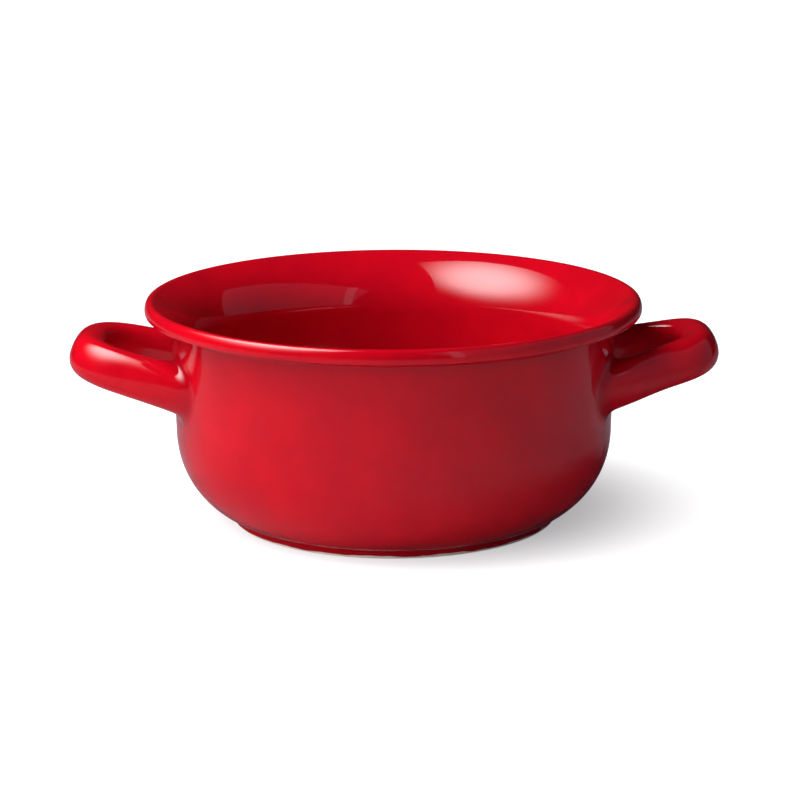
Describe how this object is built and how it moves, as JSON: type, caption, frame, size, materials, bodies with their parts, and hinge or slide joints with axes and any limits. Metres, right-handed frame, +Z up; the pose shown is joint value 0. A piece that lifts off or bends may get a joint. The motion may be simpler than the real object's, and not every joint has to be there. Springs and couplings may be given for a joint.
{
  "type": "onion soup crock",
  "caption": "Round glazed stoneware soup crock with a rolled rim, a low foot ring and a loop handle on each side; it holds a serving of soup and goes under the grill.",
  "frame": {"origin": "on the table, under the middle of the bowl", "axes": "+Z up along the bowl's axis, +X towards the right handle, +Y away from the camera"},
  "size_m": [0.1968, 0.15, 0.068],
  "materials": {
    "red_glaze": "glossy red glaze over pale stoneware, bare only on the foot ring's lower edge"
  },
  "bodies": {
    "root": {"bowl": "red_glaze", "foot_ring": "red_glaze", "left_handle": "red_glaze", "right_handle": "red_glaze", "left_front_joint": "red_glaze", "left_back_joint": "red_glaze", "right_front_joint": "red_glaze", "right_back_joint": "red_glaze"}
  },
  "joints": []
}
